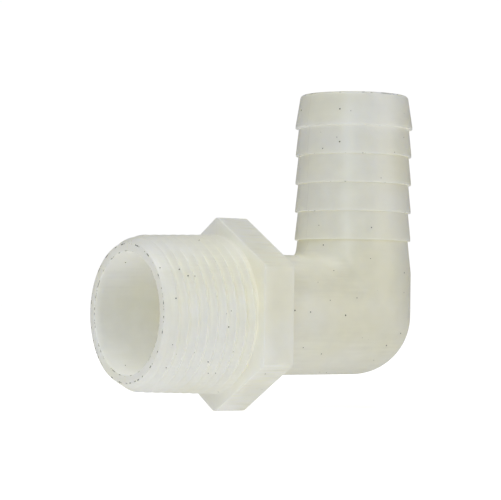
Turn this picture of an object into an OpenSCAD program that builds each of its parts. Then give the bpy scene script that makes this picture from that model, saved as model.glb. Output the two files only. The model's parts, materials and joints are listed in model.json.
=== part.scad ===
// Right-angle hose adapter, 3/4-14 taper pipe thread to 3/4 in hose tail, moulded in natural nylon.
// Millimetres. The thread axis lies along X with its open end at the origin and facing -X.
// The hose tail stands along +Z. The real part is one moulding, so the modules below are its
// functional sections: they meet face to face and share one continuous waterway.

/* [Pipe thread] */
// Threads per inch of the taper pipe thread
threads_per_inch = 14; // [11.5:0.5:18]
// Crest diameter of the thread at its small end
thread_end_d = 26.03; // [24:0.01:28]
// Length of the threaded spigot, from its open end to the hexagon
thread_len = 17.5; // [12:0.5:20]
// Outer diameter of the flat rim at the open end
thread_rim_d = 22.9; // [22:0.1:24]
// Length of the lead-in cone from the rim up to the full thread
lead_in_len = 2.2; // [1:0.1:3]
// Diameter of the bore inside the threaded spigot
thread_bore_d = 20.2; // [18:0.1:20.6]
// Depth of that bore before it narrows
thread_bore_depth = 19.5; // [15:0.5:20]

/* [Hexagon] */
// Distance across the flats of the wrench hexagon
hex_af = 28.5; // [28:0.05:30]
// Thickness of the hexagon along the thread axis
hex_len = 6; // [4:0.5:8]
// Rounding radius of the hexagon's six corners
hex_corner_r = 1.2; // [0.5:0.1:2]

/* [Elbow] */
// Outer diameter of the plain barrel and of the round corner
barrel_d = 20.64; // [20:0.02:21]
// Diameter of the waterway through the barrel and the hose tail
waterway_d = 15.8; // [14:0.1:16.4]
// Distance from the hexagon's back face to the axis of the hose tail
barrel_reach = 22.9; // [20:0.1:30]
// Length of the straight leg that belongs to the corner section
corner_leg = 12; // [11:0.5:14]

/* [Hose tail] */
// Height of the tail's open end above the thread axis
tail_top_z = 38.7; // [34:0.1:50]
// Number of barbs, the leading one included
barb_count = 5; // [2:1:5]
// Distance from one barb crest to the next
barb_pitch = 4.92; // [4:0.02:6]
// Height of the leading barb's crest above the thread axis
lead_crest_z = 32.86; // [30:0.02:33.5]
// Diameter over the crest of the leading barb
lead_crest_d = 20.6; // [20:0.02:21]
// Diameter over the crests of the other barbs
crest_d = 20.36; // [20:0.02:21]
// Diameter at the root below each crest
root_d = 19.4; // [19:0.02:19.8]
// Outer diameter of the rim at the open end
rim_d = 18.86; // [18:0.02:19.4]
// Height above the thread axis at which the tail's foot reaches the barrel diameter
flare_z = 7.6; // [6:0.1:9]
// Length of the short cylindrical land on each crest
crest_land = 0.4; // [0.2:0.1:0.6]
// Rounding radius of the outer edge at the tail's open end
rim_round = 0.5; // [0.2:0.1:0.8]

/* [Hidden] */
$fn = 96;
nylon = "#e6e4d6";

// taper pipe thread: 60 degree flanks, height 0.8 of the pitch, taper 1 in 16 on the diameter
thread_pitch = 25.4 / threads_per_inch;
thread_height = 0.8 * thread_pitch;
radius_taper = 1 / 32;
flat_len = (thread_pitch - 2 * thread_height * tan(30)) / 2;
thread_sides = 60;

// one pitch of the thread: distance along the axis and height above the root, corner by corner
tooth_x = [0, flat_len, thread_pitch / 2, thread_pitch / 2 + flat_len];
tooth_h = [0, 0, thread_height, thread_height];
tooth_corners = len(tooth_x);
thread_turns = ceil(thread_len / thread_pitch) + 3;
thread_rows = thread_turns * tooth_corners;

hex_x = thread_len;
barrel_x = hex_x + hex_len;
tail_x = barrel_x + barrel_reach;
corner_x = tail_x - corner_leg;
foot_z = lead_crest_z - (barb_count - 1) * barb_pitch;
nose_z = lead_crest_z;
neck_len = 3;
bite = 1;

// A cylinder along +X from x0 to x1
module rod_x(d, x0, x1, d2 = undef) {
    translate([x0, 0, 0])
        rotate([0, 90, 0])
            cylinder(d1 = d, d2 = is_undef(d2) ? d : d2, h = x1 - x0);
}

// Point on the thread's surface: row counts tooth corners along the axis, side counts round it
function thread_point(row, side) =
    let (
        turn = floor(row / tooth_corners),
        corner = row % tooth_corners,
        x = (turn - 2 + side / thread_sides) * thread_pitch + tooth_x[corner],
        r = thread_end_d / 2 - thread_height + tooth_h[corner] + x * radius_taper,
        angle = 360 * side / thread_sides
    )
    [x, r * cos(angle), r * sin(angle)];

// Index of a surface point, where a full turn round the axis moves on by one tooth
function thread_index(row, side) =
    side < thread_sides
        ? row * thread_sides + side
        : (row + tooth_corners) * thread_sides;

// A solid bar with the taper thread on it, longer than needed at both ends
module threaded_bar() {
    last = thread_rows - tooth_corners - 1;
    points = [
        for (row = [0 : thread_rows - 1])
            for (side = [0 : thread_sides - 1])
                thread_point(row, side)
    ];
    low_centre = [-2 * thread_pitch, 0, 0];
    high_centre = [thread_point(last, thread_sides - 1)[0], 0, 0];
    count = len(points);
    skin = [
        for (row = [0 : last - 1])
            for (side = [0 : thread_sides - 1])
                let (
                    a = thread_index(row, side),
                    b = thread_index(row, side + 1),
                    c = thread_index(row + 1, side + 1),
                    d = thread_index(row + 1, side)
                )
                each [[a, b, c], [a, c, d]]
    ];
    low_rim = concat(
        [for (side = [0 : thread_sides - 1]) thread_index(0, side)],
        [for (row = [tooth_corners : -1 : 1]) thread_index(row, 0)]
    );
    high_rim = concat(
        [for (side = [0 : thread_sides - 1]) thread_index(last, side)],
        [for (row = [last + tooth_corners : -1 : last + 1]) thread_index(row, 0)]
    );
    low_cap = [
        for (i = [0 : len(low_rim) - 1])
            [count, low_rim[(i + 1) % len(low_rim)], low_rim[i]]
    ];
    high_cap = [
        for (i = [0 : len(high_rim) - 1])
            [count + 1, high_rim[i], high_rim[(i + 1) % len(high_rim)]]
    ];
    polyhedron(
        points = concat(points, [low_centre, high_centre]),
        faces = concat(skin, low_cap, high_cap)
    );
}

// The spigot bore, then the cone that narrows it to the waterway inside the hexagon
module spigot_bore() {
    rod_x(thread_bore_d, -bite, thread_bore_depth);
    rod_x(thread_bore_d, thread_bore_depth, thread_bore_depth + neck_len, waterway_d);
}

// Threaded spigot: taper thread outside, straight bore inside, lead-in cone at the open end
module thread_spigot() {
    lead_slope = (thread_end_d - thread_rim_d) / lead_in_len;
    color(nylon)
        difference() {
            intersection() {
                threaded_bar();
                rod_x(thread_rim_d, 0, thread_len, thread_rim_d + lead_slope * thread_len);
            }
            spigot_bore();
        }
}

// Hexagonal collar that a wrench turns, with flats facing -Y and +Y and corners up and down
module wrench_hex() {
    corner_d = (hex_af - 2 * hex_corner_r) / cos(30);
    color(nylon)
        difference() {
            translate([hex_x, 0, 0])
                rotate([0, 90, 0])
                    linear_extrude(hex_len)
                        offset(r = hex_corner_r)
                            circle(d = corner_d, $fn = 6);
            spigot_bore();
            rod_x(waterway_d, thread_bore_depth, barrel_x + bite);
        }
}

// Plain barrel between the hexagon and the corner
module inlet_barrel() {
    color(nylon)
        difference() {
            rod_x(barrel_d, barrel_x, corner_x);
            rod_x(waterway_d, barrel_x - bite, corner_x + bite);
        }
}

// A straight leg into the corner, a round end, and a straight leg up out of it
module bend(d, leg_start, rise) {
    rod_x(d, leg_start, tail_x);
    translate([tail_x, 0, 0]) {
        sphere(d = d);
        cylinder(d = d, h = rise);
    }
}

// Corner of the elbow, with the foot of the hose tail that narrows to the root of the last barb
module elbow_corner() {
    color(nylon)
        difference() {
            union() {
                bend(barrel_d, corner_x, flare_z);
                translate([tail_x, 0, flare_z])
                    cylinder(d1 = barrel_d, d2 = root_d, h = foot_z - flare_z);
            }
            bend(waterway_d, corner_x - bite, foot_z + bite);
        }
}

// Half outline of one barb: root at the top of the barb below, crest land at the bottom
module barb_outline(crest_z, top_z, crest_diameter, top_diameter) {
    inner = waterway_d / 2;
    polygon([
        [inner, crest_z],
        [crest_diameter / 2, crest_z],
        [crest_diameter / 2, crest_z + crest_land],
        [top_diameter / 2, top_z],
        [inner, top_z]
    ]);
}

// Hose tail: the barbs below the leading one, each a cone that opens downwards to its crest
module hose_tail() {
    color(nylon)
        translate([tail_x, 0, 0])
            rotate_extrude()
                for (i = [1 : barb_count - 1])
                    barb_outline(
                        lead_crest_z - i * barb_pitch,
                        lead_crest_z - (i - 1) * barb_pitch,
                        crest_d,
                        root_d
                    );
}

// Leading barb: longer and steeper than the rest, with a rounded rim that starts the hose on
module tail_nose() {
    rim_r = rim_d / 2;
    color(nylon)
        translate([tail_x, 0, 0])
            rotate_extrude()
                union() {
                    barb_outline(nose_z, tail_top_z - rim_round, lead_crest_d, rim_d);
                    translate([waterway_d / 2, tail_top_z - rim_round])
                        square([rim_r - rim_round - waterway_d / 2, rim_round]);
                    intersection() {
                        translate([rim_r - rim_round, tail_top_z - rim_round])
                            circle(r = rim_round);
                        translate([rim_r - rim_round, tail_top_z - rim_round])
                            square(rim_round);
                    }
                }
}

thread_spigot();
wrench_hex();
inlet_barrel();
elbow_corner();
hose_tail();
tail_nose();
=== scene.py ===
"""Natural nylon elbow hose fitting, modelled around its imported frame.

The sizes come from the frame where it has them. Lengths are in metres. The thread axis lies
along X with its open end at the origin, and the hose tail stands along +Z.
"""

import json
import math

import bmesh
import bpy
from bpy.props import FloatProperty, FloatVectorProperty, IntProperty, PointerProperty
from bpy.types import Operator, Panel, PropertyGroup
from mathutils import Matrix, Vector


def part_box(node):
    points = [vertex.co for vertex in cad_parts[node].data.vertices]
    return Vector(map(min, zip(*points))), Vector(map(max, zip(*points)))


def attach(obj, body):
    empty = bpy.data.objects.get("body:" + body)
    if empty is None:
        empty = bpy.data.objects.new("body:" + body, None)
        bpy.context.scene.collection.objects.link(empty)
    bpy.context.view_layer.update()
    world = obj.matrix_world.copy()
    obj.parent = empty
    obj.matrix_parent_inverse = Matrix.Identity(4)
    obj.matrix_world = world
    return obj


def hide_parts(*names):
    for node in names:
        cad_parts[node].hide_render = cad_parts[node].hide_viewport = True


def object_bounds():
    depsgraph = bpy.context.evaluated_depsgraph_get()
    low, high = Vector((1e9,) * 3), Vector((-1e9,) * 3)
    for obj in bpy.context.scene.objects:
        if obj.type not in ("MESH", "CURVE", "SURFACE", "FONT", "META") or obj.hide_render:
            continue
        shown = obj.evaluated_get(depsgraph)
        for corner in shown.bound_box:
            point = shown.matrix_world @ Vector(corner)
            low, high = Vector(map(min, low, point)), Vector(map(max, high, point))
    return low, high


bl_info = {
    "name": "Elbow Hose Fitting",
    "version": (1, 0, 0),
    "blender": (4, 5, 0),
    "location": "3D View > Sidebar > Elbow Fitting",
    "description": "Builds a moulded nylon elbow hose fitting around its frame",
    "category": "Add Mesh",
}

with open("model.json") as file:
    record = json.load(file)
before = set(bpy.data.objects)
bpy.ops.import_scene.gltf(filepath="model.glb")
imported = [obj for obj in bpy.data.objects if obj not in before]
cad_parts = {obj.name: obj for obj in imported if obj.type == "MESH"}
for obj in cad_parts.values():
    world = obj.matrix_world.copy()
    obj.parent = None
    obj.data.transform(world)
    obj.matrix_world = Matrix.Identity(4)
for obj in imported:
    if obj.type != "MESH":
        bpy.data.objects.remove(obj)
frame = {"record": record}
CAD_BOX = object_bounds()

MM = 0.001
BODY = "root"
# Per-vertex amount added to the painted glow, the emission that lights the nylon from within; below
# zero it is painted shade
PAINTED_GLOW_LAYER = "through_light"
# Per-vertex share of painted light near the bore's mouth, which turns the colour cooler and paler
MOUTH_LIGHT_LAYER = "cool_tint"
WELD = 0.002 * MM
FULL_TURN = 2 * math.pi
FLANK_ANGLE = math.radians(30)
HEX_ANGLE = math.radians(30)
RADIUS_TAPER = 1 / 32
# Share of the painted light at the bore's mouth, a cooler, paler colour, that the bore's upright
# walls take
SIDE_MOUTH_LIGHT = 0.15
NYLON_IOR = 1.53
# How far red, green and blue light spread inside the nylon, for one unit of depth
LIGHT_SPREAD = (1.0, 0.95, 0.75)
AXIS_X = Vector((1, 0, 0))
AXIS_Z = Vector((0, 0, 1))
MOUNTS = {mount["name"]: mount for mount in frame["record"]["mounts"]}


def mount_radius(name):
    """Radius of one of the frame's round mounts, in metres."""
    return MOUNTS[name]["dims"]["r_mm"] * MM


def span(node, axis):
    """Lowest and highest place of a frame node along an axis: 0 for X, 1 for Y, 2 for Z."""
    low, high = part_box(node)
    return low[axis], high[axis]


SPIGOT_END, HEX_FRONT = span("thread_spigot", 0)
HEX_BACK = span("wrench_hex", 0)[1]
TAIL_FOOT, NOSE_FOOT = span("hose_tail", 2)
TAIL_TOP = span("tail_nose", 2)[1]
BARREL_R = span("inlet_barrel", 1)[1]
HEX_HALF_FLATS = span("wrench_hex", 1)[1]
CREST_R = span("hose_tail", 1)[1]
NOSE_CREST_R = span("tail_nose", 1)[1]
TAIL_X = MOUNTS["hose_tail"]["pos_m"][0]
MOUTH_BORE_R = mount_radius("thread_bore")
WATERWAY_R = mount_radius("tail_bore")


def length(name, description, default):
    """A length that a user may change, in metres."""
    return FloatProperty(
        name=name, description=description, default=default, min=0, precision=5, unit="LENGTH"
    )


def amount(name, description, default, top=1.0):
    """A plain amount with no unit."""
    return FloatProperty(name=name, description=description, default=default, min=0, max=top)


def tint(name, description, default):
    """A colour, as scene linear red, green and blue."""
    return FloatVectorProperty(
        name=name, description=description, default=default, subtype="COLOR", size=3, min=0, max=1
    )


class ElbowSizes(PropertyGroup):
    """Sizes of the moulding that its frame doesn't state."""

    thread_pitch: length("Thread pitch", "From one crest of the thread to the next", 25.4 / 14 * MM)
    thread_end_r: length("Thread radius", "Over the crests at the small end", 13.015 * MM)
    thread_depth: length("Thread depth", "From crest to root", 1.0 * MM)
    thread_flat: length("Thread crest", "Width of the crest before rounding", 0.12 * MM)
    thread_round: length("Thread rounding", "Blend over crests and roots", 0.9 * MM)
    thread_row: length("Thread row", "Spacing of mesh rows along the thread", 0.07 * MM)
    rim_r: length("Rim radius", "Outer radius of the flat rim at the threaded end", 11.45 * MM)
    lead_in: length("Lead-in", "Length of the cone from the rim to the full thread", 2.2 * MM)
    lead_round: length("Lead-in rounding", "Blend between the cone and the thread", 0.5 * MM)
    rim_edge: length("Rim edge", "Rounding of both edges of the rim", 0.14 * MM)
    bore_depth: length("Bore depth", "How far the wide bore runs in", 19.5 * MM)
    neck: length("Neck", "Length of the cone between the bore and the waterway", 3.0 * MM)
    hex_corner: length("Hexagon corner", "Rounding radius of the six corners", 1.2 * MM)
    hex_edge: length("Hexagon edge", "Rounding of the edges round both faces", 0.2 * MM)
    flare_z: length("Flare", "Height at which the tail's foot leaves the barrel radius", 7.6 * MM)
    crook: length("Crook", "Reach of the blend inside the bend", 2.8 * MM)
    crook_row: length("Crook row", "Spacing of mesh rows near the bend", 0.35 * MM)
    root_r: length("Barb root", "Radius at the root below each crest", 9.7 * MM)
    crest_land: length("Crest land", "Height of the straight land on each crest", 0.4 * MM)
    crest_edge: length("Crest edge", "Rounding of each crest's lower edge", 0.06 * MM)
    nose_r: length("Nose radius", "Radius at the open end of the tail", 9.43 * MM)
    nose_edge: length("Nose edge", "Rounding of the open end's outer edge", 0.5 * MM)
    mouth_edge: length("Mouth edge", "Rounding of the open end's inner edge", 0.2 * MM)
    # The next four amounts paint glow through the emission in the thread's roots, on the rim and on
    # the bore's top and bottom, and paint shade by taking glow off the whole bore
    groove_glow: amount("Groove glow", "Extra light through the thread's roots", 0.36)
    rim_glow: amount("Rim glow", "Extra light through the thin wall at the open end", 0.4)
    bore_glow: amount("Bore glow", "Extra light through the bore's top and bottom", 1.1, top=5.0)
    bore_shade: amount("Bore shade", "Light that the bore's thick wall holds back", 0.32)
    barbs: IntProperty(name="Barbs", description="Barbs below the leading one", default=4, min=1)
    steps: IntProperty(name="Steps", description="Mesh steps round the fitting", default=160, min=48)


class NylonLook(PropertyGroup):
    """Colours and finish of the natural nylon."""

    milk: tint("Milk", "The paler, cooler colour of the nylon", (0.795, 0.80, 0.785))
    straw: tint("Straw", "The warmer colour of the nylon", (0.785, 0.775, 0.665))
    speck: tint("Speck", "Colour of the dark specks and edge lines", (0.03, 0.028, 0.025))
    # Glow, deep glow and glow strength set the painted glow, emission that lights the nylon from
    # within; deep glow is its darker tint in hollows, which is painted shade
    glow: tint("Glow", "Tint of the light that comes through the walls", (0.96, 0.95, 0.93))
    deep_glow: tint("Deep glow", "The same tint deep inside hollows", (0.60, 0.57, 0.40))
    glow_strength: amount("Glow strength", "How much light comes through the walls", 0.195)
    roughness: amount("Roughness", "Roughness of the moulded skin", 0.35)
    gloss: amount("Gloss", "Strength of the skin's soft reflections", 0.9)
    translucence: amount("Translucence", "Share of light that goes below the skin", 1.0)
    # Grain paints the shade of the skin's relief into the colour
    grain: amount("Grain", "How much the skin's grain lightens and darkens the colour", 0.05)
    # Painted shade: straw colour in hollows, by how closed in each place is
    hollow_shade_tint: amount("Hollow warmth", "Straw colour deep inside hollows", 1.4, top=3.0)
    # The bend and end straw shares, with their reaches below, paint shade: a stronger straw share at
    # the thick bend, fading with distance from the corner towards the thin ends. Straw is the
    # nylon's own colour; its stronger share at the bend is painted shade.
    bend_shade_warmth: amount("Bend warmth", "Straw colour at the thick bend", 0.75)
    end_shade_warmth: amount("End warmth", "Straw colour at the thin ends", 0.1)
    # Painted light: how far the lit mouth of the bore moves from straw colour towards milk
    mouth_cooling: amount("Mouth cooling", "Straw colour lost at the bore's mouth", 1.9, top=3.0)
    bend_reach: length("Bend reach", "How far from the corner the bend's warmth holds", 12 * MM)
    end_reach: length("End reach", "How far from the corner the ends' warmth starts", 50 * MM)


class StageSettings(PropertyGroup):
    """The floor, the lights and the camera."""

    azimuth: FloatProperty(
        name="Azimuth", description="Camera direction round Z", default=math.radians(-34.96),
        subtype="ANGLE",
    )
    elevation: FloatProperty(
        name="Elevation", description="Camera height angle", default=math.radians(-1.5),
        subtype="ANGLE",
    )
    roll: FloatProperty(
        name="Roll", description="Camera turn about its own axis", default=math.radians(0.84),
        subtype="ANGLE",
    )
    distance: length("Distance", "From the camera to its aim point", 349 * MM)
    lens: FloatProperty(
        name="Lens", description="Focal length in millimetres", default=142.35, min=1
    )
    aim_x: length("Aim X", "The camera's aim point along X", 31.5 * MM)
    aim_y: length("Aim Y", "The camera's aim point along Y", 10.0 * MM)
    aim_z: length("Aim Z", "The camera's aim point along Z", 11.3 * MM)
    floor_gap: length("Floor gap", "Room between the fitting and the floor", 0.05 * MM)
    floor_size: length("Floor size", "Width of the square floor", 6.0)


# ---------------------------------------------------------------- mesh helpers


def ring_point(axis, centre, along, radius):
    """The point at a distance along an axis and a radius from it, where each outline starts."""
    side = AXIS_Z if axis == AXIS_X else AXIS_X
    return centre + axis * along + side * radius


def lathe(bm, outline, axis, centre, steps, closed=True, rows=None):
    """Spin an outline of (along, radius) corners round an axis.

    rows maps an outline edge's number to how many cuts it takes before the spin.
    """
    verts = [bm.verts.new(ring_point(axis, centre, a, r)) for a, r in outline]
    pairs = list(zip(verts, verts[1:]))
    if closed:
        pairs.append((verts[-1], verts[0]))
    edges = [bm.edges.new(pair) for pair in pairs]
    chain = list(edges)
    for number, cuts in (rows or {}).items():
        made = bmesh.ops.subdivide_edges(bm, edges=[edges[number]], cuts=cuts)
        cut = made["geom_inner"] + made["geom_split"]
        chain += [part for part in cut if isinstance(part, bmesh.types.BMEdge)]
    chain = list(dict.fromkeys(e for e in chain if e.is_valid))
    chain_verts = list(dict.fromkeys(v for e in chain for v in e.verts))
    bmesh.ops.spin(
        bm, geom=chain + chain_verts, cent=centre, axis=axis, angle=FULL_TURN, steps=steps,
        use_merge=True,
    )


def direction(turn, lift):
    """The unit vector at a turn round Z from -Y and a lift above level, both in radians."""
    return Vector(
        (math.sin(turn) * math.cos(lift), -math.cos(turn) * math.cos(lift), math.sin(lift))
    )


def on_ring(vert, axis, centre, along, radius):
    """Whether a vertex lies on the ring at that place along an axis and that radius."""
    offset = vert.co - centre
    reach = offset.dot(axis)
    away = (offset - axis * reach).length
    return abs(reach - along) < WELD and abs(away - radius) < WELD


def ring_edges(bm, axis, centre, rings):
    """The edges that lie on the given (along, radius) rings."""
    return [
        e
        for e in bm.edges
        if any(all(on_ring(v, axis, centre, a, r) for v in e.verts) for a, r in rings)
    ]


def round_edges(bm, edges, width, segments=3, clamp_overlap=False):
    """Replace edges by narrow rounded strips."""
    bmesh.ops.bevel(
        bm, geom=edges, offset=width, offset_type="OFFSET", segments=segments, profile=0.5,
        affect="EDGES", material=-1, clamp_overlap=clamp_overlap,
    )


def round_rings(bm, axis, centre, rings, width, segments=3):
    """Round the edge loops that lie on the given (along, radius) rings."""
    round_edges(bm, ring_edges(bm, axis, centre, rings), width, segments, clamp_overlap=True)


def weld(bm):
    """Join points that meet and turn every face outwards."""
    bmesh.ops.remove_doubles(bm, verts=bm.verts, dist=WELD)
    bmesh.ops.recalc_face_normals(bm, faces=bm.faces)


def add_object(name, data):
    """A new object in the scene."""
    made = bpy.data.objects.new(name, data)
    bpy.context.scene.collection.objects.link(made)
    return made


def to_mesh(name, bm):
    """A finished bmesh as a mesh."""
    mesh = bpy.data.meshes.new(name)
    bm.to_mesh(mesh)
    bm.free()
    return mesh


def make_piece(name, bm, nodes, material, crease=math.radians(35)):
    """Turn a finished bmesh into a piece that stands for its frame nodes."""
    weld(bm)
    mesh = to_mesh(name, bm)
    mesh.shade_smooth()
    mesh.set_sharp_from_angle(angle=crease)
    piece = add_object(name, mesh)
    mesh.materials.append(material)
    level = piece.modifiers.new("Flat faces", "WEIGHTED_NORMAL")
    level.keep_sharp = True
    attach(piece, BODY)
    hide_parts(*nodes)
    return piece


# ---------------------------------------------------------------- thread


def smooth_min(a, b, blend):
    """The lower of two values, with the corner between them rounded."""
    overlap = max(blend - abs(a - b), 0.0) / blend
    return min(a, b) - overlap * overlap * blend / 4


def smooth_max(a, b, blend):
    """The higher of two values, with the corner between them rounded."""
    return -smooth_min(-a, -b, blend)


def thread_radius(sizes, along, angle):
    """Radius of the taper thread's skin, with its lead-in cone, at one place."""
    pitch = sizes.thread_pitch
    turns = along / pitch - angle / FULL_TURN
    from_crest = abs(turns % 1 - 0.5) * pitch
    rise = (sizes.thread_flat / 2 - from_crest) / math.tan(FLANK_ANGLE) + sizes.thread_depth
    rise = smooth_min(rise, sizes.thread_depth, sizes.thread_round)
    rise = smooth_max(rise, 0.0, sizes.thread_round)
    root = sizes.thread_end_r - sizes.thread_depth + along * RADIUS_TAPER
    slope = (sizes.thread_end_r - sizes.rim_r) / sizes.lead_in
    cone = sizes.rim_r + slope * along
    return min(smooth_min(root + rise, cone, sizes.lead_round), cone)


def cut_thread(bm, sizes, first, last):
    """Move the spigot's outer skin onto the thread, and note where glow and shade are painted on.

    The wall is thinnest under the grooves and at the rim, and these get more painted glow. The bore
    gets more painted glow towards its mouth where its wall faces up or down, and less glow than
    usual elsewhere, which is painted shade. Near its mouth the bore is also painted cooler and
    paler, as lit there, most where its wall faces up or down.
    """
    through = bm.verts.layers.float.new(PAINTED_GLOW_LAYER)
    mouth_lit = bm.verts.layers.float.new(MOUTH_LIGHT_LAYER)
    for vert in bm.verts:
        along = vert.co.x - SPIGOT_END
        away = math.hypot(vert.co.y, vert.co.z)
        outside = away > (sizes.rim_r + MOUTH_BORE_R) / 2
        if outside and first < vert.co.x <= last + WELD:
            radius = thread_radius(sizes, along, math.atan2(vert.co.z, vert.co.y))
            vert.co.y *= radius / away
            vert.co.z *= radius / away
            cut = sizes.thread_end_r + along * RADIUS_TAPER - radius
            vert[through] = sizes.groove_glow * min(1.0, max(0.0, cut / sizes.thread_depth))
        elif along <= WELD:
            vert[through] = sizes.rim_glow
        elif not outside:
            near = max(0.0, 1 - along / sizes.bore_depth)
            level = (vert.co.z / away) ** 2
            vert[through] = sizes.bore_glow * near * level - sizes.bore_shade
            vert[mouth_lit] = near * (SIDE_MOUTH_LIGHT + (1 - SIDE_MOUTH_LIGHT) * level)


# ---------------------------------------------------------------- materials


def add_node(tree, kind, place, *first, **settings):
    """A new shader node with its settings and inputs.

    first are the node's first inputs in order, and in_Some_Name sets the input Some Name. Each is
    a value, or another node's output socket to link it to.
    """
    node = tree.nodes.new(kind)
    node.location = place
    inputs = dict(enumerate(first))
    for name, value in settings.items():
        if name.startswith("in_"):
            inputs[name[3:].replace("_", " ")] = value
        else:
            setattr(node, name, value)
    for key, value in inputs.items():
        if isinstance(value, bpy.types.NodeSocket):
            tree.links.new(value, node.inputs[key])
        else:
            node.inputs[key].default_value = value
    return node


def add_math(tree, place, operation, *values, use_clamp=False):
    """The result of a math node on its values, which are numbers or sockets."""
    node = add_node(
        tree, "ShaderNodeMath", place, *values, operation=operation, use_clamp=use_clamp
    )
    return node.outputs["Value"]


def joined(tree, place, operation, sockets):
    """The sockets combined one after another by a math operation."""
    total = sockets[0]
    for i, socket in enumerate(sockets[1:]):
        total = add_math(tree, (place[0] + 160 * i, place[1]), operation, total, socket)
    return total


def map_range(tree, place, value, start, end, **settings):
    """A value carried from the range start onto the range end."""
    node = add_node(
        tree, "ShaderNodeMapRange", place, in_Value=value, in_From_Min=start[0],
        in_From_Max=start[1], in_To_Min=end[0], in_To_Max=end[1], **settings,
    )
    return node.outputs["Result"]


def smooth_range(tree, place, value, start, end):
    """The same with a soft start and end."""
    return map_range(tree, place, value, start, end, interpolation_type="SMOOTHSTEP")


def noise(tree, place, vector, scale, detail, roughness):
    """The value of a noise texture, from 0 to 1."""
    node = add_node(
        tree, "ShaderNodeTexNoise", place, in_Vector=vector, in_Scale=scale, in_Detail=detail,
        in_Roughness=roughness,
    )
    return node.outputs["Fac"]


def mix_colors(tree, place, factor, first, second, blend_type="MIX"):
    """Two colours mixed by a factor."""
    node = add_node(
        tree, "ShaderNodeMix", place, data_type="RGBA", blend_type=blend_type, in_Factor=factor,
        in_A=first, in_B=second,
    )
    return node.outputs["Result"]


def vector_math(tree, place, operation, *values, output="Vector", **settings):
    """The result of a vector math node."""
    node = add_node(tree, "ShaderNodeVectorMath", place, *values, operation=operation, **settings)
    return node.outputs[output]


def new_group(name, inputs, outputs):
    """An empty node group, with the sockets inside it that its inputs and outputs give.

    inputs maps each name to its default: a number, a colour, or None for a vector. outputs maps
    each name to Float or Color.
    """
    group = bpy.data.node_groups.new(name, "ShaderNodeTree")
    for socket, value in inputs.items():
        kind = "Vector" if value is None else "Color" if isinstance(value, tuple) else "Float"
        made = group.interface.new_socket(socket, in_out="INPUT", socket_type="NodeSocket" + kind)
        if value is not None:
            made.default_value = value
    for socket, kind in outputs.items():
        group.interface.new_socket(socket, in_out="OUTPUT", socket_type="NodeSocket" + kind)
    source = add_node(group, "NodeGroupInput", (-1300, 0)).outputs
    target = add_node(group, "NodeGroupOutput", (900, 0)).inputs
    return group, source, target


def shared(tree, place, name, build, **inputs):
    """The outputs of a shared group's node. The group is built the first time it is needed."""
    group = bpy.data.node_groups.get(name) or build(name)
    return add_node(tree, "ShaderNodeGroup", place, node_tree=group, **inputs).outputs


def cloudy_tint(name):
    """Two colours drifting into each other in soft clouds, as in thick milky plastic."""
    group, source, target = new_group(
        name,
        {
            "Vector": None,
            "Pale": (0.8, 0.8, 0.8, 1),
            "Warm": (0.8, 0.75, 0.6, 1),
            "Cloud Scale": 70.0,
            "Warmth": 0.5,
        },
        {"Color": "Color"},
    )
    drift = (-0.35, 0.35)
    cloud = noise(group, (-500, 0), source["Vector"], source["Cloud Scale"], 3.0, 0.5)
    cloud = smooth_range(group, (-300, 0), cloud, (0.3, 0.7), drift)
    share = add_math(group, (-100, 0), "ADD", cloud, source["Warmth"], use_clamp=True)
    color = mix_colors(group, (100, 0), share, source["Pale"], source["Warm"])
    group.links.new(color, target["Color"])
    return group


def dark_specks(name):
    """Dark specks of moulding dust: one small dot in some of the cells of a cell pattern."""
    group, source, target = new_group(
        name, {"Vector": None, "Cell Scale": 680.0, "Share": 0.4, "Size": 0.12}, {"Mask": "Float"}
    )
    size_range = (0.45, 1.0)
    soft_edge = (1.0, 0.55)
    cells = add_node(
        group, "ShaderNodeTexVoronoi", (-650, 100), feature="F1", in_Vector=source["Vector"],
        in_Scale=source["Cell Scale"],
    ).outputs
    pick = add_node(group, "ShaderNodeSeparateColor", (-420, 0), cells["Color"]).outputs
    chosen = add_math(group, (-200, 0), "LESS_THAN", pick["Red"], source["Share"])
    size = map_range(group, (-420, -180), pick["Green"], (0, 1), size_range)
    radius = add_math(group, (-200, -180), "MULTIPLY", size, source["Size"])
    inside = add_math(group, (0, 150), "DIVIDE", cells["Distance"], radius)
    dot = smooth_range(group, (200, 150), inside, soft_edge, (0, 1))
    mask = add_math(group, (450, 0), "MULTIPLY", dot, chosen)
    group.links.new(mask, target["Mask"])
    return group


def moulded_skin(name):
    """The moulded skin: fine grain and slow waviness as a height, and uneven roughness."""
    group, source, target = new_group(
        name,
        {"Vector": None, "Grain Scale": 5200.0, "Wave Scale": 420.0, "Roughness": 0.4},
        {"Height": "Float", "Roughness": "Float"},
    )
    grain_share = 0.3
    unevenness = (-0.03, 0.03)
    grain = noise(group, (-600, 200), source["Vector"], source["Grain Scale"], 2.0, 0.6)
    wave = noise(group, (-600, -100), source["Vector"], source["Wave Scale"], 2.0, 0.5)
    share = add_math(group, (-350, 200), "MULTIPLY", grain, grain_share)
    height = add_math(group, (-100, 100), "ADD", share, wave)
    uneven = map_range(group, (-350, -200), wave, (0.3, 0.7), unevenness)
    rough = add_math(group, (-100, -200), "ADD", uneven, source["Roughness"], use_clamp=True)
    group.links.new(height, target["Height"])
    group.links.new(rough, target["Roughness"])
    return group


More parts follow.
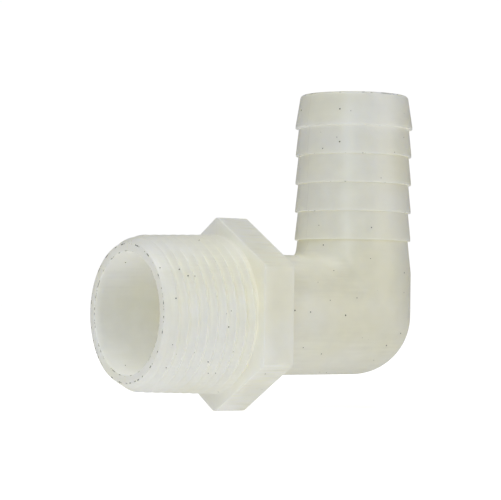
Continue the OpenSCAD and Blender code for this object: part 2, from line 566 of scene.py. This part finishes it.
def ring_line(name):
    """A thin broken line of grime round the Z axis, at one radius and at even steps of height."""
    group, source, target = new_group(
        name,
        {
            "Vector": None,
            "Radius": 0.01,
            "Height": 0.0,
            "Spacing": 1.0,
            "Width": 0.0001,
            "Break Scale": 900.0,
            "Gaps": 0.5,
            "Amount": 0.9,
        },
        {"Mask": "Float"},
    )
    soft_end = 0.1
    split = add_node(group, "ShaderNodeSeparateXYZ", (-1050, 100), source["Vector"]).outputs
    flat = add_node(group, "ShaderNodeCombineXYZ", (-850, 200), split["X"], split["Y"])
    away = vector_math(group, (-650, 200), "LENGTH", flat.outputs["Vector"], output="Value")
    off_radius = add_math(group, (-450, 200), "SUBTRACT", away, source["Radius"])
    above = add_math(group, (-850, -50), "SUBTRACT", split["Z"], source["Height"])
    half = add_math(group, (-850, -250), "MULTIPLY", source["Spacing"], 0.5)
    minus_half = add_math(group, (-650, -300), "MULTIPLY", half, -1.0)
    wrapped = add_math(group, (-450, -50), "WRAP", above, half, minus_half)
    offset = add_node(group, "ShaderNodeCombineXYZ", (-250, 100), off_radius, wrapped)
    gap = vector_math(group, (-50, 100), "LENGTH", offset.outputs["Vector"], output="Value")
    line = smooth_range(group, (150, 100), gap, (source["Width"], 0.0), (0, 1))
    breaks = noise(group, (-250, -250), source["Vector"], source["Break Scale"], 3.0, 0.6)
    whole = add_math(group, (-50, -400), "ADD", source["Gaps"], soft_end)
    shown = smooth_range(group, (150, -250), breaks, (source["Gaps"], whole), (0, 1))
    mask = joined(group, (400, 0), "MULTIPLY", [line, shown, source["Amount"]])
    group.links.new(mask, target["Mask"])
    return group


def parting_line(name):
    """The faint witness line where the two halves of the mould met, on the plane Y = 0."""
    group, source, target = new_group(name, {"Vector": None, "Width": 0.09 * MM}, {"Mask": "Float"})
    split = add_node(group, "ShaderNodeSeparateXYZ", (-550, 0), source["Vector"]).outputs
    off = add_math(group, (-300, 0), "ABSOLUTE", split["Y"])
    mask = smooth_range(group, (0, 0), off, (source["Width"], 0.0), (0, 1))
    group.links.new(mask, target["Mask"])
    return group


def tool_marks(name):
    """Fine, uneven cutter lines that the mould left on its sloping faces, centred on zero.

    The cutter worked in level steps, so an upright face shows none of them.
    """
    group, source, target = new_group(
        name,
        {"Vector": None, "Normal": None, "Lines Scale": 2500.0, "Patch Scale": 160.0},
        {"Height": "Float"},
    )
    level_stretch = (0.06, 0.06, 1.0)
    patch_strength = (0.3, 1.0)
    slope_gain = 2.0
    stretched = vector_math(group, (-650, 100), "MULTIPLY", source["Vector"], level_stretch)
    lines = noise(group, (-400, 100), stretched, source["Lines Scale"], 1.0, 0.4)
    centred = add_math(group, (-150, 100), "SUBTRACT", lines, 0.5)
    patch = noise(group, (-400, -200), source["Vector"], source["Patch Scale"], 1.0, 0.5)
    where = map_range(group, (-150, -200), patch, (0.35, 0.65), patch_strength)
    facing = add_node(group, "ShaderNodeSeparateXYZ", (-400, -450), source["Normal"]).outputs
    level = add_math(group, (-150, -450), "ABSOLUTE", facing["Z"])
    slope = add_math(group, (50, -450), "MULTIPLY", level, slope_gain, use_clamp=True)
    height = joined(group, (300, 0), "MULTIPLY", [centred, where, slope])
    group.links.new(height, target["Height"])
    return group


def nylon(name, rings=(), tail=False, marks=0.1, parting=0.1, hollow=20 * MM, alone=True,
          open_sky=0.55, glow_gain=1.0, depth=2 * MM):
    """Milky natural nylon with soft clouds of straw colour, fine skin grain, a few specks, and
    painted glow and shade.

    rings are the inputs of Ring Line nodes. The rings stand round the tail's axis if tail is set,
    and round the thread's axis otherwise. marks is the height of the mould's tool marks, and also
    how strongly their painted shade lightens and darkens the colour. hollow is how far apart two
    walls still shade each other for the painted shade in hollows, and alone leaves the neighbouring
    pieces out of that. open_sky is the share of clear directions at which a surface counts as fully
    open.
    glow_gain is how much more painted glow than usual the piece gets, and depth is how far light
    spreads inside.
    """
    look = bpy.context.scene.nylon_look
    shut_sky = open_sky - 0.4
    marks_relief = 5 * marks
    material = bpy.data.materials.new(name)
    material.use_nodes = True
    tree = material.node_tree
    tree.nodes.clear()
    coords = add_node(tree, "ShaderNodeTexCoord", (-1300, 0)).outputs
    where = coords["Object"]

    # How open each place is, and the painted shade and light in its colour: straw colour in shaded
    # hollows and at the bend, less of it at the lit mouth of the bore
    sky = add_node(
        tree, "ShaderNodeAmbientOcclusion", (-1300, 300), samples=8, only_local=alone,
        in_Distance=hollow,
    ).outputs["AO"]
    open_air = map_range(tree, (-1100, 300), sky, (shut_sky, open_sky), (0, 1))
    hollow_shade_tint = map_range(tree, (-900, 300), open_air, (0, 1), (look.hollow_shade_tint, 0))
    # Painted shade: more straw colour near the bend's corner, less towards the ends
    bulk = vector_math(tree, (-1100, 550), "DISTANCE", where, (TAIL_X, 0, 0), output="Value")
    bend_shade_share = map_range(
        tree, (-900, 550), bulk, (look.bend_reach, look.end_reach),
        (look.bend_shade_warmth, look.end_shade_warmth),
    )
    # Painted light at the bore's mouth takes straw colour away there
    mouth_lit = add_node(tree, "ShaderNodeAttribute", (-1100, 800), attribute_name=MOUTH_LIGHT_LAYER)
    mouth_light_tint = map_range(tree, (-900, 800), mouth_lit.outputs["Fac"], (0, 1), (0, -look.mouth_cooling))
    # The straw share adds painted shade in hollows and at the bend, and takes off the painted mouth
    # light
    shade_warmth = joined(tree, (-700, 450), "ADD", [bend_shade_share, hollow_shade_tint, mouth_light_tint])
    clean = shared(
        tree, (-500, 200), "Cloudy Tint", cloudy_tint, in_Vector=where, in_Warmth=shade_warmth,
        in_Pale=(*look.milk, 1), in_Warm=(*look.straw, 1),
    )["Color"]

    # Grime: specks, broken ring lines and the mould's witness line
    centred = add_node(
        tree, "ShaderNodeMapping", (-1000, -800), vector_type="POINT", in_Vector=where
    )
    if tail:
        centred.inputs["Location"].default_value = (-TAIL_X, 0, 0)
    else:
        centred.inputs["Rotation"].default_value = (0, -FULL_TURN / 4, 0)
    dark = [shared(tree, (-500, 0), "Dark Specks", dark_specks, in_Vector=where)["Mask"]]
    for i, values in enumerate(rings):
        ring = {"in_" + key: value for key, value in values.items()}
        ring["in_Vector"] = centred.outputs["Vector"]
        dark.append(shared(tree, (-500, -800 - 260 * i), "Ring Line", ring_line, **ring)["Mask"])
    seam = shared(tree, (-500, -400), "Parting Line", parting_line, in_Vector=where)["Mask"]
    seam = add_math(tree, (-250, -400), "MULTIPLY", seam, parting)
    grime = joined(tree, (-100, 0), "MAXIMUM", [*dark, seam])
    dirty = mix_colors(tree, (600, 100), grime, clean, (*look.speck, 1))

    # Grain and tool marks as relief, and the same relief painted into the colour as light and dark,
    # which is painted shade
    skin = shared(
        tree, (-500, -200), "Moulded Skin", moulded_skin, in_Vector=where,
        in_Roughness=look.roughness,
    )
    tool = shared(
        tree, (-500, -600), "Tool Marks", tool_marks, in_Vector=where, in_Normal=coords["Normal"]
    )["Height"]
    grain = map_range(
        tree, (300, 500), skin["Height"], (0, 1), (1 - look.grain, 1 + look.grain), clamp=False
    )
    cutter = add_math(tree, (300, 750), "MULTIPLY_ADD", tool, marks, 1.0)
    pattern = joined(tree, (550, 600), "MULTIPLY", [grain, cutter])
    color = vector_math(tree, (800, 250), "SCALE", dirty, in_Scale=pattern)
    lines = add_math(tree, (-250, -600), "MULTIPLY", tool, marks_relief)
    relief = joined(tree, (100, -400), "ADD", [skin["Height"], lines, seam])
    bump = add_node(
        tree, "ShaderNodeBump", (850, -400), in_Strength=0.3, in_Distance=0.04 * MM,
        in_Height=relief,
    )

    # Painted glow: emission in the nylon's own colour, tinted darker in hollows as painted shade,
    # and raised or lowered by the painted glow layer
    tint = mix_colors(tree, (600, -150), open_air, (*look.deep_glow, 1), (*look.glow, 1))
    through = mix_colors(tree, (850, -100), 1.0, color, tint, blend_type="MULTIPLY")
    wall = add_node(tree, "ShaderNodeAttribute", (400, -300), attribute_name=PAINTED_GLOW_LAYER)
    gain = add_math(tree, (600, -300), "ADD", wall.outputs["Fac"], glow_gain)
    glow = vector_math(tree, (1000, -150), "SCALE", through, in_Scale=gain)

    # Emission Color and Emission Strength carry the painted glow
    shader = add_node(
        tree, "ShaderNodeBsdfPrincipled", (1200, 0), in_Base_Color=color, in_Emission_Color=glow,
        in_Roughness=skin["Roughness"], in_Normal=bump.outputs["Normal"],
        in_Emission_Strength=look.glow_strength, in_IOR=NYLON_IOR,
        in_Specular_IOR_Level=look.gloss, in_Subsurface_Weight=look.translucence,
        in_Subsurface_Radius=LIGHT_SPREAD, in_Subsurface_Scale=depth,
    )
    add_node(tree, "ShaderNodeOutputMaterial", (1500, 0), in_Surface=shader.outputs["BSDF"])
    return material


# ---------------------------------------------------------------- operators


class ELBOW_OT_spigot(Operator):
    """Build the threaded spigot: rim, lead-in cone, taper thread and bore."""

    bl_idname = "elbow.spigot"
    bl_label = "Threaded Spigot"

    def execute(self, context):
        sizes = context.scene.elbow_sizes
        origin = Vector((SPIGOT_END, 0, 0))
        reach = HEX_FRONT - SPIGOT_END
        plain = 0.4 * MM
        thread_rows = round((reach - plain) / sizes.thread_row)
        bore_rows = 12
        outline = [
            (0, sizes.rim_r),
            (plain, sizes.thread_end_r),
            (reach, sizes.thread_end_r),
            (reach, MOUTH_BORE_R),
            (0, MOUTH_BORE_R),
        ]
        bm = bmesh.new()
        rows = {1: thread_rows, 3: bore_rows}
        lathe(bm, outline, AXIS_X, origin, sizes.steps, rows=rows)
        cut_thread(bm, sizes, SPIGOT_END + WELD, HEX_FRONT)
        rims = [(0, sizes.rim_r), (0, MOUTH_BORE_R)]
        round_rings(bm, AXIS_X, origin, rims, sizes.rim_edge)
        rings = [
            {"Radius": sizes.rim_r - sizes.rim_edge / 2, "Width": 0.16 * MM, "Amount": 0.95},
            {"Radius": MOUTH_BORE_R + sizes.rim_edge / 2, "Width": 0.14 * MM, "Amount": 0.8},
        ]
        material = nylon("Spigot Nylon", rings, parting=0.15, depth=4 * MM, glow_gain=0.88)
        make_piece("moulded_spigot", bm, ["thread_spigot"], material)
        return {"FINISHED"}


class ELBOW_OT_hexagon(Operator):
    """Build the wrench hexagon with rounded corners and the bore's neck inside it."""

    bl_idname = "elbow.hexagon"
    bl_label = "Wrench Hexagon"

    def execute(self, context):
        sizes = context.scene.elbow_sizes
        thick = HEX_BACK - HEX_FRONT
        centre = Vector(((HEX_FRONT + HEX_BACK) / 2, 0, 0))
        corner_r = HEX_HALF_FLATS / math.cos(HEX_ANGLE)
        bm = bmesh.new()
        lying = Matrix.Rotation(FULL_TURN / 4, 4, "Y") @ Matrix.Rotation(FULL_TURN / 4, 4, "Z")
        bmesh.ops.create_cone(
            bm, cap_ends=True, segments=6, radius1=corner_r, radius2=corner_r, depth=thick,
            matrix=Matrix.Translation(centre) @ lying,
        )
        long_edges = [e for e in bm.edges if abs(e.verts[0].co.x - e.verts[1].co.x) > thick / 2]
        round_edges(bm, long_edges, sizes.hex_corner * math.tan(HEX_ANGLE), segments=6)
        caps = [f for f in bm.faces if abs(f.normal.x) > 0.9]
        outline_edges = list(dict.fromkeys(e for f in caps for e in f.edges))
        round_edges(bm, outline_edges, sizes.hex_edge, segments=4)
        caps = [f for f in bm.faces if abs(f.normal.x) > 0.999 and len(f.verts) > 6]
        caps.sort(key=lambda f: f.calc_center_median().x)
        outer = [list(f.edges) for f in caps]
        bmesh.ops.delete(bm, geom=caps, context="FACES_ONLY")
        neck_end = SPIGOT_END + sizes.bore_depth + sizes.neck
        bore = [
            (HEX_FRONT, MOUTH_BORE_R),
            (SPIGOT_END + sizes.bore_depth, MOUTH_BORE_R),
            (neck_end, WATERWAY_R),
            (HEX_BACK, WATERWAY_R),
        ]
        lathe(bm, bore, AXIS_X, Vector(), sizes.steps, closed=False)
        for place, radius, edges in (
            (HEX_FRONT, MOUTH_BORE_R, outer[0]),
            (HEX_BACK, WATERWAY_R, outer[1]),
        ):
            ring = ring_edges(bm, AXIS_X, Vector(), [(place, radius)])
            bmesh.ops.bridge_loops(bm, edges=edges + ring)
        material = nylon("Hexagon Nylon", marks=0.36, glow_gain=1.15, depth=3.5 * MM)
        make_piece("moulded_hexagon", bm, ["wrench_hex"], material)
        return {"FINISHED"}


class ELBOW_OT_bend(Operator):
    """Build the barrel, the ball-ended corner and the foot of the hose tail in one skin."""

    bl_idname = "elbow.bend"
    bl_label = "Barrel and Corner"

    wall = (BARREL_R + WATERWAY_R) / 2

    def execute(self, context):
        sizes = context.scene.elbow_sizes
        bm = bmesh.new()
        legs = (TAIL_X - HEX_BACK, TAIL_FOOT)
        near = BARREL_R + sizes.crook
        count = round(near / sizes.crook_row)
        close = [near * i / count for i in range(count, 0, -1)]
        self.half_bend(bm, sizes, WATERWAY_R, [legs[0]], upright=False)
        self.half_bend(bm, sizes, WATERWAY_R, [legs[1]], upright=True)
        self.half_bend(bm, sizes, BARREL_R, [legs[0], *close], upright=False)
        self.half_bend(bm, sizes, BARREL_R, [legs[1], *close], upright=True)
        bmesh.ops.remove_doubles(bm, verts=bm.verts, dist=WELD)
        self.taper_foot(bm, sizes)
        self.soften_crook(bm, sizes)
        for axis, centre, place, outer_r in (
            (AXIS_X, Vector(), HEX_BACK, BARREL_R),
            (AXIS_Z, Vector((TAIL_X, 0, 0)), TAIL_FOOT, sizes.root_r),
        ):
            rings = ring_edges(bm, axis, centre, [(place, outer_r), (place, WATERWAY_R)])
            bmesh.ops.bridge_loops(bm, edges=rings)
        nodes = ["inlet_barrel", "elbow_corner"]
        material = nylon("Barrel Nylon", marks=0.13, hollow=5.5 * MM, alone=False, open_sky=0.85)
        make_piece("moulded_bend", bm, nodes, material, crease=math.radians(60))
        return {"FINISHED"}

    def half_bend(self, bm, sizes, radius, rings, upright):
        """One straight leg with its half of the ball, cut off at the mitre plane."""
        corner = Vector((TAIL_X, 0, 0))
        arc_steps = 20
        reach = math.radians(50)
        outline = [(-ring, radius) for ring in rings]
        outline += [
            (radius * math.sin(reach * i / arc_steps), radius * math.cos(reach * i / arc_steps))
            for i in range(arc_steps + 1)
        ]
        half = bmesh.new()
        lathe(half, outline, AXIS_X, Vector(), sizes.steps, closed=False)
        bmesh.ops.bisect_plane(
            half, geom=half.verts[:] + half.edges[:] + half.faces[:], dist=WELD / 10,
            plane_co=(0, 0, 0), plane_no=(1, 0, 1), clear_outer=True,
        )
        if upright:
            swap = Matrix(((0, 0, -1, 0), (0, 1, 0, 0), (-1, 0, 0, 0), (0, 0, 0, 1)))
            bmesh.ops.transform(half, matrix=swap, verts=half.verts)
        bmesh.ops.translate(half, verts=half.verts, vec=corner)
        mesh = to_mesh("half", half)
        bm.from_mesh(mesh)
        bpy.data.meshes.remove(mesh)

    def foot_radius(self, sizes, height):
        """Outer radius of the upright leg, which narrows from the barrel to the barb root."""
        share = max(0.0, height - sizes.flare_z) / (TAIL_FOOT - sizes.flare_z)
        return BARREL_R + (sizes.root_r - BARREL_R) * share

    def taper_foot(self, bm, sizes):
        """Narrow the upright leg's outer skin."""
        for vert in bm.verts:
            across = Vector((vert.co.x - TAIL_X, vert.co.y))
            upright = vert.co.z + across.x > -WELD
            if upright and vert.co.z > sizes.flare_z and across.length > self.wall:
                across *= self.foot_radius(sizes, vert.co.z) / across.length
                vert.co.x = TAIL_X + across.x
                vert.co.y = across.y

    def soften_crook(self, bm, sizes):
        """Blend the two legs' outer skins into each other inside the bend.

        The blend's reach fades out towards the sides. Each pass moves a point closer to the
        blended skin, straight out from both legs.
        """
        corner = Vector((TAIL_X, 0, 0))
        side_reach = 1.6 * sizes.crook
        passes = 5
        for vert in bm.verts:
            place = vert.co - corner
            side = 1 - (place.y / BARREL_R) ** 2
            reach = min(sizes.crook, side_reach * side)
            outside = min(math.hypot(place.y, place.z), math.hypot(place.x, place.y)) > self.wall
            if place.x >= 0 or place.z <= 0 or reach < WELD or not outside:
                continue
            for _ in range(passes):
                level, upright = Vector((0, place.y, place.z)), Vector((place.x, place.y, 0))
                a = level.length - BARREL_R
                b = upright.length - self.foot_radius(sizes, place.z)
                share = 0.5 + 0.5 * max(-1.0, min(1.0, (b - a) / reach))
                slope = level.normalized() * share + upright.normalized() * (1 - share)
                place -= slope * smooth_min(a, b, reach) / slope.length_squared
            vert.co = place + corner


class ELBOW_OT_tail(Operator):
    """Build the hose tail: the barbs below the leading one."""

    bl_idname = "elbow.tail"
    bl_label = "Hose Tail"

    def execute(self, context):
        sizes = context.scene.elbow_sizes
        centre = Vector((TAIL_X, 0, 0))
        pitch = (NOSE_FOOT - TAIL_FOOT) / sizes.barbs
        outline = [(TAIL_FOOT, WATERWAY_R)]
        crests = []
        for i in range(sizes.barbs):
            foot = TAIL_FOOT + i * pitch
            crests.append((foot, CREST_R))
            outline += [
                (foot, CREST_R),
                (foot + sizes.crest_land, CREST_R),
                (foot + pitch, sizes.root_r),
            ]
        outline.append((NOSE_FOOT, WATERWAY_R))
        bm = bmesh.new()
        lathe(bm, outline, AXIS_Z, centre, sizes.steps)
        round_rings(bm, AXIS_Z, centre, crests, sizes.crest_edge)
        rings = [
            {
                "Radius": CREST_R, "Height": TAIL_FOOT, "Spacing": pitch, "Width": 0.22 * MM,
                "Amount": 0.9, "Gaps": 0.6,
            }
        ]
        make_piece("moulded_tail", bm, ["hose_tail"], nylon("Tail Nylon", rings, tail=True))
        return {"FINISHED"}


class ELBOW_OT_nose(Operator):
    """Build the leading barb with the rounded open end of the tail."""

    bl_idname = "elbow.nose"
    bl_label = "Tail Nose"

    def execute(self, context):
        sizes = context.scene.elbow_sizes
        centre = Vector((TAIL_X, 0, 0))
        outline = [
            (NOSE_FOOT, WATERWAY_R),
            (NOSE_FOOT, NOSE_CREST_R),
            (NOSE_FOOT + sizes.crest_land, NOSE_CREST_R),
            (TAIL_TOP, sizes.nose_r),
            (TAIL_TOP, WATERWAY_R),
        ]
        bm = bmesh.new()
        lathe(bm, outline, AXIS_Z, centre, sizes.steps)
        round_rings(bm, AXIS_Z, centre, [(NOSE_FOOT, NOSE_CREST_R)], sizes.crest_edge)
        round_rings(bm, AXIS_Z, centre, [(TAIL_TOP, sizes.nose_r)], sizes.nose_edge, 6)
        round_rings(bm, AXIS_Z, centre, [(TAIL_TOP, WATERWAY_R)], sizes.mouth_edge)
        rings = [
            {"Radius": NOSE_CREST_R, "Height": NOSE_FOOT, "Width": 0.22 * MM, "Gaps": 0.6},
            {"Radius": sizes.nose_r, "Height": TAIL_TOP, "Width": 0.4 * MM, "Gaps": 0.55},
        ]
        make_piece("moulded_nose", bm, ["tail_nose"], nylon("Nose Nylon", rings, tail=True))
        return {"FINISHED"}


class ELBOW_OT_stage(Operator):
    """Lay the pale floor, hang the soft lights and set the camera."""

    bl_idname = "elbow.stage"
    bl_label = "Stage"

    # Name, azimuth and height in degrees, power, colour and width of each light
    lights = (
        ("Key light", -35, 65, 2.1, (0.95, 0.99, 1.0), 0.8),
        ("Right light", 30, 10, 2.0, (1.0, 0.96, 0.83), 0.8),
        ("Left light", -85, 30, 0.4, (1.0, 0.96, 0.80), 0.6),
        ("Front light", -35, 8, 0.8, (0.95, 0.98, 1.0), 0.8),
        ("Strip light", -49, 8, 1.1, (0.86, 0.96, 1.0), 0.07),
        ("Top light", 0, 90, 1.6, (1.0, 0.99, 0.96), 0.8),
        ("Back light", -125, 40, 0.8, (1.0, 0.96, 0.80), 0.8),
    )
    light_height = 0.8
    light_aim = Vector((TAIL_X / 2, 0, 0.01))

    def execute(self, context):
        settings = context.scene.elbow_stage
        self.floor(settings)
        self.room_light(context)
        for light in self.lights:
            self.soft_light(*light)
        self.camera(context, settings)
        context.scene.view_settings.view_transform = "Standard"
        return {"FINISHED"}

    def floor(self, settings):
        """A large pale floor just below the fitting, which looks whiter further out."""
        other_rays = 0.105
        near, far = 0.03, 0.12
        near_white, far_white = 0.72, 1.0
        low = Vector(CAD_BOX[0]).z - settings.floor_gap
        bm = bmesh.new()
        bmesh.ops.create_grid(
            bm, x_segments=1, y_segments=1, size=settings.floor_size / 2,
            matrix=Matrix.Translation((TAIL_X, 0, low)),
        )
        mesh = to_mesh("Floor", bm)
        floor = add_object("Floor", mesh)
        material = bpy.data.materials.new("Pale Floor")
        material.use_nodes = True
        tree = material.node_tree
        shader = tree.nodes["Principled BSDF"].inputs
        shader["Base Color"].default_value = (0.92, 0.92, 0.92, 1)
        shader["Roughness"].default_value = 0.9
        shader["Specular IOR Level"].default_value = 0.0
        shader["Emission Color"].default_value = (1, 1, 1, 1)
        path = add_node(tree, "ShaderNodeLightPath", (-600, 200)).outputs
        coords = add_node(tree, "ShaderNodeTexCoord", (-1000, 0)).outputs
        centred = vector_math(tree, (-800, 0), "SUBTRACT", coords["Object"], (TAIL_X / 2, 0, low))
        away = vector_math(tree, (-600, 0), "LENGTH", centred, output="Value")
        seen = smooth_range(tree, (-400, 0), away, (near, far), (near_white, far_white))
        level = add_node(
            tree, "ShaderNodeMix", (-200, 0), in_Factor=path["Is Camera Ray"], in_A=other_rays,
            in_B=seen,
        )
        tree.links.new(level.outputs["Result"], shader["Emission Strength"])
        mesh.materials.append(material)

    def room_light(self, context):
        """White surroundings: soft light on the fitting, and full white behind it."""
        light_level, seen_level = 0.05, 1.02
        world = bpy.data.worlds.new("White Room")
        context.scene.world = world
        world.use_nodes = True
        tree = world.node_tree
        back = tree.nodes["Background"].inputs
        back["Color"].default_value = (1, 1, 1, 1)
        path = add_node(tree, "ShaderNodeLightPath", (-500, 0)).outputs
        level = map_range(tree, (-250, 0), path["Is Camera Ray"], (0, 1), (light_level, seen_level))
        tree.links.new(level, back["Strength"])

    def soft_light(self, name, azimuth, height, power, color, width):
        """A large light a metre from the fitting and facing it, placed by azimuth and height."""
        data = bpy.data.lights.new(name, "AREA")
        data.shape = "RECTANGLE"
        data.size = width
        data.size_y = self.light_height
        data.energy = power
        data.color = color
        light = add_object(name, data)
        away = direction(math.radians(azimuth), math.radians(height))
        light.location = self.light_aim + away
        light.rotation_euler = (-away).to_track_quat("-Z", "Y").to_euler()

    def camera(self, context, settings):
        """A long lens looking at the fitting from the threaded end's side, level with it."""
        back = direction(settings.azimuth, settings.elevation)
        aim = Vector((settings.aim_x, settings.aim_y, settings.aim_z))
        right = Vector((math.cos(settings.azimuth), math.sin(settings.azimuth), 0))
        up = back.cross(right)
        tilt = Matrix.Rotation(settings.roll, 3, back)
        data = bpy.data.cameras.new("Camera")
        data.lens = settings.lens
        data.sensor_width = 36.0
        data.clip_start = 0.01
        data.clip_end = 20.0
        camera = add_object("Camera", data)
        turned = Matrix((tilt @ right, tilt @ up, back)).transposed()
        camera.matrix_world = Matrix.Translation(aim + back * settings.distance) @ turned.to_4x4()
        context.scene.camera = camera


class ELBOW_PT_panel(Panel):
    """Steps that build the elbow fitting, in order."""

    bl_idname = "ELBOW_PT_panel"
    bl_label = "Elbow Fitting"
    bl_space_type = "VIEW_3D"
    bl_region_type = "UI"
    bl_category = "Elbow Fitting"

    def draw(self, context):
        column = self.layout.column(align=True)
        for operator in OPERATORS:
            column.operator(operator.bl_idname)
        for group in (
            context.scene.elbow_sizes, context.scene.nylon_look, context.scene.elbow_stage
        ):
            box = self.layout.box()
            for name in group.__annotations__:
                box.prop(group, name)


OPERATORS = (
    ELBOW_OT_spigot,
    ELBOW_OT_hexagon,
    ELBOW_OT_bend,
    ELBOW_OT_tail,
    ELBOW_OT_nose,
    ELBOW_OT_stage,
)
CLASSES = (ElbowSizes, NylonLook, StageSettings, *OPERATORS, ELBOW_PT_panel)


def register():
    """Register every class and hang the settings on the scene."""
    for cls in CLASSES:
        bpy.utils.register_class(cls)
    bpy.types.Scene.elbow_sizes = PointerProperty(type=ElbowSizes)
    bpy.types.Scene.nylon_look = PointerProperty(type=NylonLook)
    bpy.types.Scene.elbow_stage = PointerProperty(type=StageSettings)


def unregister():
    """Undo register."""
    del bpy.types.Scene.elbow_stage
    del bpy.types.Scene.nylon_look
    del bpy.types.Scene.elbow_sizes
    for cls in reversed(CLASSES):
        bpy.utils.unregister_class(cls)


def main():
    """Build every piece and the stage."""
    register()
    bpy.ops.elbow.spigot()
    bpy.ops.elbow.hexagon()
    bpy.ops.elbow.bend()
    bpy.ops.elbow.tail()
    bpy.ops.elbow.nose()
    bpy.ops.elbow.stage()


if __name__ == "__main__":
    main()
